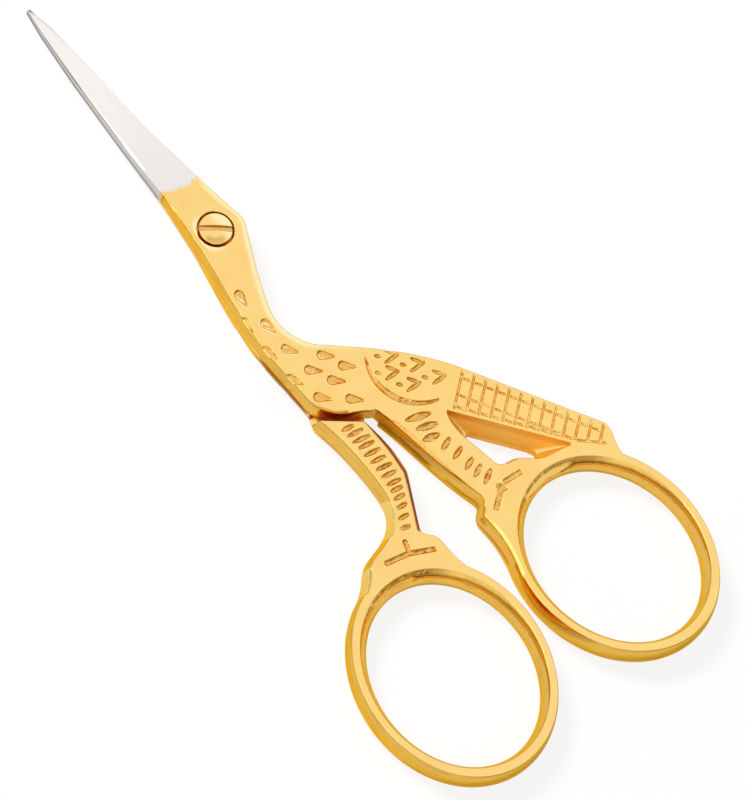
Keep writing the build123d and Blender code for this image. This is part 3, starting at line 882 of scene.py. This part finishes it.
def floor_finish(stage):
    """White paper: the camera sees it nearly white with a faint shadow, the metal sees its full shading."""
    shader = new_material("floor_paper")
    camera_ray = shader.add("ShaderNodeLightPath", output=0)
    glossy_ray = shader.add("ShaderNodeLightPath", output=3)
    tone = shader.blend(camera_ray, colour([stage.mirrored_tone] * 3), colour([stage.paper_tone] * 3))
    paper = shader.add("ShaderNodeBsdfDiffuse", None, {"Color": tone})
    lift = camera_ray * stage.paper_glow + glossy_ray * stage.mirrored_glow
    glow = shader.add("ShaderNodeEmission", None, {"Color": (1, 1, 1, 1), "Strength": lift})
    return shader.finish(shader.add("ShaderNodeAddShader", None, {0: paper, 1: glow}))


def add_floor(stage):
    deselect()
    bpy.ops.mesh.primitive_plane_add(size=stage.floor_size, location=(0, 0, -FLOOR_GAP))
    floor = bpy.context.active_object
    floor.name = "floor"
    floor.data.materials.append(floor_finish(stage))


def add_world(stage):
    """White walls to the camera. In the metal they darken to the horizon and behind the rings."""
    world = bpy.data.worlds.new("studio")
    bpy.context.scene.world = world
    shader = Shader(world, "ShaderNodeOutputWorld")
    direction = shader.add("ShaderNodeTexCoord", output=0)
    height = shader.split(direction)[2]
    horizon = stage.horizon_level + (1 - stage.horizon_level) * shader.step(0.05, 0.3, height)
    shade = shader.step(0.68, 0.93, shader.toward(direction, SHADED_SIDE))
    left_window = shader.step(0.86, 0.95, shader.toward(direction, LEFT_WINDOW))
    mirrored = horizon * (1 - shade * (1 - stage.shade_level))
    tint = shader.blend(mirrored, colour(stage.warm_shade), (1, 1, 1, 1))
    mirrored = mirrored + left_window * stage.window_level
    camera_ray = shader.add("ShaderNodeLightPath", output=0)
    glossy_ray = shader.add("ShaderNodeLightPath", output=3)
    clear_ray = shader.add("ShaderNodeLightPath", output=6)
    in_metal = glossy_ray.maths("MAXIMUM", glossy_ray, clear_ray)
    lit = (1 - camera_ray) * (1 - in_metal)
    level = camera_ray + in_metal * mirrored + lit * stage.sky_level
    tint = shader.blend(in_metal, (1, 1, 1, 1), tint)
    shader.finish(shader.add("ShaderNodeBackground", None, {"Color": tint, "Strength": level}))


def add_lamp(name, place, aim, size, power):
    deselect()
    bpy.ops.object.light_add(type="AREA", location=place)
    lamp = bpy.context.active_object
    lamp.name = name
    lamp.data.shape = "DISK"
    lamp.data.size = size
    lamp.data.energy = power
    lamp.rotation_euler = (Vector(aim) - Vector(place)).to_track_quat("-Z", "Y").to_euler()
    lamp.visible_camera = False
    lamp.visible_glossy = False


def add_camera():
    """The camera at the photograph's angle: above the scissors' left, and rolled, so that they lie aslant."""
    lean = math.radians(24.03)
    roll = math.radians(118.36)
    focal_pixels = 4583
    pixels_per_mm = 10.19
    target = Vector((1.129, -23.285, 3.5)) * MM
    away = Vector((-0.919, -0.395, 0)).normalized()
    across = Vector((away.y, -away.x, 0))
    tilted = away * math.cos(lean) - Vector((0, 0, math.sin(lean)))
    right = tilted * math.cos(roll) - across * math.sin(roll)
    down = tilted * math.sin(roll) + across * math.cos(roll)
    back = right.cross(-down)
    place = target + back * (focal_pixels / pixels_per_mm * MM)
    deselect()
    bpy.ops.object.camera_add()
    camera = bpy.context.active_object
    camera.name = "camera"
    camera.matrix_world = Matrix.Translation(place) @ Matrix((right, -down, back)).transposed().to_4x4()
    camera.data.sensor_width = 36
    camera.data.lens = focal_pixels * camera.data.sensor_width / PICTURE_HEIGHT
    camera.data.clip_start = 0.01
    camera.data.clip_end = 10
    bpy.context.scene.camera = camera


class SCISSORS_OT_stage(bpy.types.Operator):
    """Set up the floor, the lamp and the camera"""
    bl_idname = "scissors.stage"
    bl_label = "Studio"

    def execute(self, context):
        stage = context.scene.scissors_stage
        add_floor(stage)
        add_world(stage)
        add_lamp("key_lamp", KEY_PLACE, KEY_AIM, KEY_SIZE, stage.key_power)
        add_camera()
        context.scene.view_settings.view_transform = "Standard"
        return {"FINISHED"}


class SCISSORS_PT_panel(bpy.types.Panel):
    """Lists the settings and the pieces"""
    bl_idname = "SCISSORS_PT_panel"
    bl_label = "Stork scissors"
    bl_space_type = "VIEW_3D"
    bl_region_type = "UI"
    bl_category = "Scissors"

    def draw(self, context):
        for group in (context.scene.scissors_forging, context.scene.scissors_finish,
                      context.scene.scissors_stage):
            box = self.layout.box()
            for key in group.__annotations__:
                box.prop(group, key)
        for operator in OPERATORS:
            self.layout.operator(operator.bl_idname)


GROUPS = (ForgingSettings, FinishSettings, StageSettings)
OPERATORS = (SCISSORS_OT_forgings, SCISSORS_OT_blades, SCISSORS_OT_screw, SCISSORS_OT_stage)


def register():
    for group in GROUPS:
        bpy.utils.register_class(group)
    bpy.types.Scene.scissors_forging = bpy.props.PointerProperty(type=ForgingSettings)
    bpy.types.Scene.scissors_finish = bpy.props.PointerProperty(type=FinishSettings)
    bpy.types.Scene.scissors_stage = bpy.props.PointerProperty(type=StageSettings)
    for operator in OPERATORS:
        bpy.utils.register_class(operator)
    bpy.utils.register_class(SCISSORS_PT_panel)


def unregister():
    bpy.utils.unregister_class(SCISSORS_PT_panel)
    for operator in reversed(OPERATORS):
        bpy.utils.unregister_class(operator)
    del bpy.types.Scene.scissors_stage
    del bpy.types.Scene.scissors_finish
    del bpy.types.Scene.scissors_forging
    for group in reversed(GROUPS):
        bpy.utils.unregister_class(group)


def main():
    register()
    bpy.ops.scissors.forgings()
    bpy.ops.scissors.blades()
    bpy.ops.scissors.screw()
    bpy.ops.scissors.stage()


if __name__ == "__main__":
    main()
